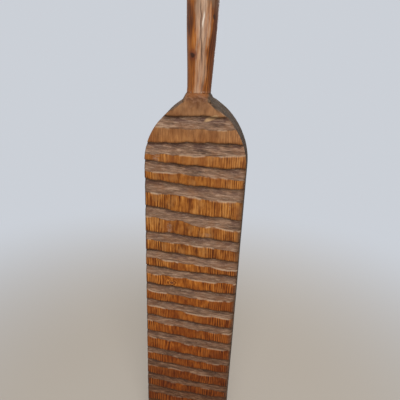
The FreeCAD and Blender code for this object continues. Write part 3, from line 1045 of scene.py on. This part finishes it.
def grip_colour(wood, fibre, dirt_and_shade):
    """Oiled red-brown wood, pale down its front where the palm has rubbed it and as painted sheen, and
    darker on the right as painted shade.
    """
    wave = wood.rings(9.0, 10.0, 2.1, 8.0)
    tone = wood.noise((0.14, 0.14, 0.012), 3.0, 0.6, (6, 2, 9))
    stripe = wood.plus(wood.times(fibre, 0.4), wood.times(tone, 0.42), wood.times(wave, 0.1), 0.04)
    colour = wood.ramp(
        stripe,
        (0.38, (0.070, 0.017, 0.003)),
        (0.46, (0.195, 0.054, 0.008)),
        (0.54, (0.350, 0.109, 0.014)),
        (0.64, (0.510, 0.192, 0.038)),
    )
    colour = wood.over(colour, (0.115, 0.045, 0.022), wood.range(dirt_and_shade, 0.48, 0.68), 0.4)
    side = wood.math("ARCTAN2", wood.x, wood.times(wood.y, -1.0))
    rubbed = wood.noise((0.14, 0.14, 0.03), 4.0, 0.6, (2, 9, 4))
    stray = wood.times(wood.centred(rubbed), 1.6)
    # Painted sheen and wear: a pale band down the handle's front, paler still higher up.
    from_sheen_band = wood.math("ABSOLUTE", wood.plus(side, -0.24, stray))
    worn = wood.times(wood.range(from_sheen_band, 0.52, 0.15), wood.range(fibre, 0.36, 0.6, 0.35, 0.95))
    colour = wood.over(colour, (0.450, 0.280, 0.175), worn, 0.75)
    pale = wood.times(worn, wood.range(wood.z, 495.0, 530.0))
    colour = wood.over(colour, (0.560, 0.420, 0.310), pale, 0.4)
    # Painted shade on the handle's right side, deeper on its upper part.
    shade = wood.times(wood.range(wood.plus(side, stray), 0.6, 1.0), wood.range(side, 2.6, 1.6))
    colour = wood.tint(colour, (0.66, 0.62, 0.66), shade)
    upper = wood.times(shade, wood.range(wood.z, 485.0, 520.0))
    colour = wood.tint(colour, (0.52, 0.46, 0.46), upper)
    warm = wood.times(wood.range(side, -0.35, -0.75), wood.range(wood.z, 530.0, 495.0))
    warm = wood.times(warm, wood.range(side, -2.6, -1.8), 0.45)
    colour = wood.mix(warm, colour, (0.400, 0.125, 0.018))
    grey = wood.times(wood.range(rubbed, 0.40, 0.58), wood.range(wood.z, 532.0, 556.0), 0.8)
    return wood.mix(grey, colour, (0.215, 0.132, 0.078))


def mark_grip(wood, colour):
    """The handle's knot and speck, a painted highlight beside its crack, the crack painted dark as shade,
    and the pale specks round its foot.
    """
    front = wood.range(wood.y, 2.0, -2.0)
    angle, z, radius = GRIP_KNOT
    x = KNOT_OUT * math.sin(angle) + lean(z)
    ring = wood.spot(x, z, radius * 2.4, radius * 2.9, 0.35)
    colour = wood.over(colour, (0.150, 0.032, 0.012), ring, front, 0.7)
    heart = wood.spot(x, z, radius * 1.45, radius * 1.25, 0.55)
    colour = wood.over(colour, (0.030, 0.010, 0.006), heart, front, 0.9)
    speck = wood.spot(*GRIP_SPECK, 0.5)
    colour = wood.over(colour, (0.035, 0.016, 0.010), speck, front, 0.9)
    # Painted highlight: a pale streak beside the crack.
    colour = wood.over(colour, (0.800, 0.700, 0.590), wood.value("lip"), 0.95)
    # Painted shade: the open crack painted dark.
    colour = wood.over(colour, (0.045, 0.018, 0.010), wood.value("crack"), 0.85)
    low = wood.range(wood.z, LENGTH + 3.0, LENGTH + 0.6)
    specks = wood.range(wood.noise((0.6, 0.6, 0.9), 3.0, 0.7, (4, 4, 4)), 0.5, 0.64)
    return wood.over(colour, (0.520, 0.400, 0.310), low, specks, 0.6)


def handle_wood():
    """The handle's material: polished by use, and dry and dull at its domed end."""
    wood = Wood("handle_wood")
    fibre = wood.noise((0.9, 0.9, 0.035), 5.0, 0.62)
    dirt_and_shade = wood.noise((0.08, 0.08, 0.018), 4.0, 0.6, (5, 5, 5))
    colour = mark_grip(wood, grip_colour(wood, fibre, dirt_and_shade))
    end = wood.range(wood.z, HANDLE_TOP - 26, HANDLE_TOP - 8)
    rough = wood.plus(wood.range(dirt_and_shade, 0.3, 0.7, 0.36, 0.5), wood.times(end, 0.3))
    coat = wood.range(end, 0.0, 1.0, 0.15, 0.0)
    return wood.finish(colour, rough, wood.bump(fibre, 0.3), 0.28, coat, 0.42)


def plain_wood(name, dark, pale):
    """End grain of a small piece that is split from straight wood."""
    wood = Wood(name)
    fibre = wood.noise((1.5, 0.4, 1.5), 5.0, 0.6)
    colour = wood.ramp(fibre, (0.3, dark), (0.7, pale))
    return wood.finish(colour, wood.range(fibre, 0.3, 0.7, 0.5, 0.65), wood.bump(fibre, 0.2))


def dress(obj, material):
    """Give an object this one material."""
    obj.data.materials.clear()
    obj.data.materials.append(material)


# ---- stage, light and camera

BACKDROP = (0.60, 0.63, 0.68, 1)
FLOOR_PAINT = (0.49, 0.435, 0.37, 1)
SKY = (0.95, 0.97, 1.0, 1)
SKY_STRENGTH = 0.44

# In metres: half the floor's width, and where the floor starts and ends its fade.
FLOOR_HALF = 6.0
FADE_START = 0.2
FADE_END = 0.9


def shown_to_camera(tree, lit, output, share=None):
    """Give camera rays the backdrop's colour in place of a lit shader, wholly or in part."""
    seen = add_node(tree, "Emission", {"Color": BACKDROP}).outputs[0]
    factor = add_node(tree, "LightPath", {}).outputs["Is Camera Ray"]
    if share is not None:
        factor = add_node(tree, "Math", {0: factor, 1: share}, operation="MULTIPLY").outputs[0]
    mix = add_node(tree, "MixShader", {0: factor, 1: lit, 2: seen})
    put(tree, output, mix.outputs[0])


def make_stage():
    """A pale floor that fades into the backdrop a little way from the object."""
    mesh = bpy.data.meshes.new("floor")
    signs = ((-1, -1), (1, -1), (1, 1), (-1, 1))
    mesh.from_pydata([(x * FLOOR_HALF, y * FLOOR_HALF, 0) for x, y in signs], [], [(0, 1, 2, 3)])
    floor = new_object("floor", mesh)
    material = bpy.data.materials.new("floor_paint")
    material.use_nodes = True
    tree = material.node_tree
    shader = tree.nodes["Principled BSDF"]
    shader.inputs["Base Color"].default_value = FLOOR_PAINT
    shader.inputs["Roughness"].default_value = 0.9
    place = add_node(tree, "TexCoord", {}).outputs["Object"]
    far = add_node(tree, "VectorMath", {0: place}, operation="LENGTH").outputs["Value"]
    span = {"Value": far, "From Min": FADE_START, "From Max": FADE_END}
    fade = add_node(tree, "MapRange", span, interpolation_type="SMOOTHSTEP")
    output = tree.nodes["Material Output"].inputs["Surface"]
    shown_to_camera(tree, shader.outputs[0], output, fade.outputs[0])
    dress(floor, material)


def make_world():
    """Even light from all round, with the backdrop's colour where the camera looks past it."""
    world = bpy.data.worlds.new("studio")
    bpy.context.scene.world = world
    world.use_nodes = True
    tree = world.node_tree
    light = tree.nodes["Background"]
    light.inputs["Color"].default_value = SKY
    light.inputs["Strength"].default_value = SKY_STRENGTH
    shown_to_camera(tree, light.outputs[0], tree.nodes["World Output"].inputs["Surface"])


def area_light(name, place, aim, size, power, colour=(1, 1, 1)):
    """A round soft lamp; its place, aim and size are in metres and its power in watts."""
    data = bpy.data.lights.new(name, "AREA")
    data.shape = "DISK"
    data.size = size
    data.energy = power
    data.color = colour
    lamp = new_object(name, data)
    lamp.location = place
    lamp.rotation_mode = "QUATERNION"
    lamp.rotation_quaternion = (Vector(aim) - Vector(place)).to_track_quat("-Z", "Y")


def make_camera():
    """The camera that sees the board as the photograph does."""
    data = bpy.data.cameras.new("camera")
    data.lens = CAMERA_LENS
    data.sensor_width = 36
    camera = new_object("camera", data)
    toward = CAMERA_RIGHT.cross(CAMERA_UP)
    turn = Matrix((CAMERA_RIGHT, CAMERA_UP, toward)).transposed()
    target = Vector((0, FRONT, LENGTH - CAMERA_DROP))
    camera.matrix_world = Matrix.Translation((target + CAMERA_OFFSET) * M) @ turn.to_4x4()
    bpy.context.scene.camera = camera


# ---- making it all

board = make_board()
boolean(board, make_mortise(), "DIFFERENCE")
for name in ("lock_peg_upper", "lock_peg_lower"):
    boolean(board, make_peg_hole(name), "DIFFERENCE")
dress(board, board_wood())
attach(board, "root")
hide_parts("ribbed_board")

grip = make_grip_body()
boolean(grip, make_tenon(), "UNION")
dress(grip, handle_wood())
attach(grip, "root")
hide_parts("handle")

peg_wood = plain_wood("peg_wood", (0.06, 0.032, 0.018), (0.2, 0.11, 0.06))
for name in ("lock_peg_upper", "lock_peg_lower"):
    dress(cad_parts[name], peg_wood)
dress(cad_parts["fox_wedge"], plain_wood("wedge_wood", (0.32, 0.2, 0.11), (0.5, 0.35, 0.2)))

make_stage()
make_world()
area_light("key", (0.16, -0.62, 1.05), (0, 0, 0.35), 0.55, 5.15, (1.0, 0.98, 0.95))
area_light("front", (0.22, -1.3, 0.62), (0, 0, 0.4), 0.55, 4.1)
area_light("back", (0, 1.7, 0.9), (0, 0, 0.3), 1.2, 15)
make_camera()
bpy.context.scene.view_settings.view_transform = "Standard"
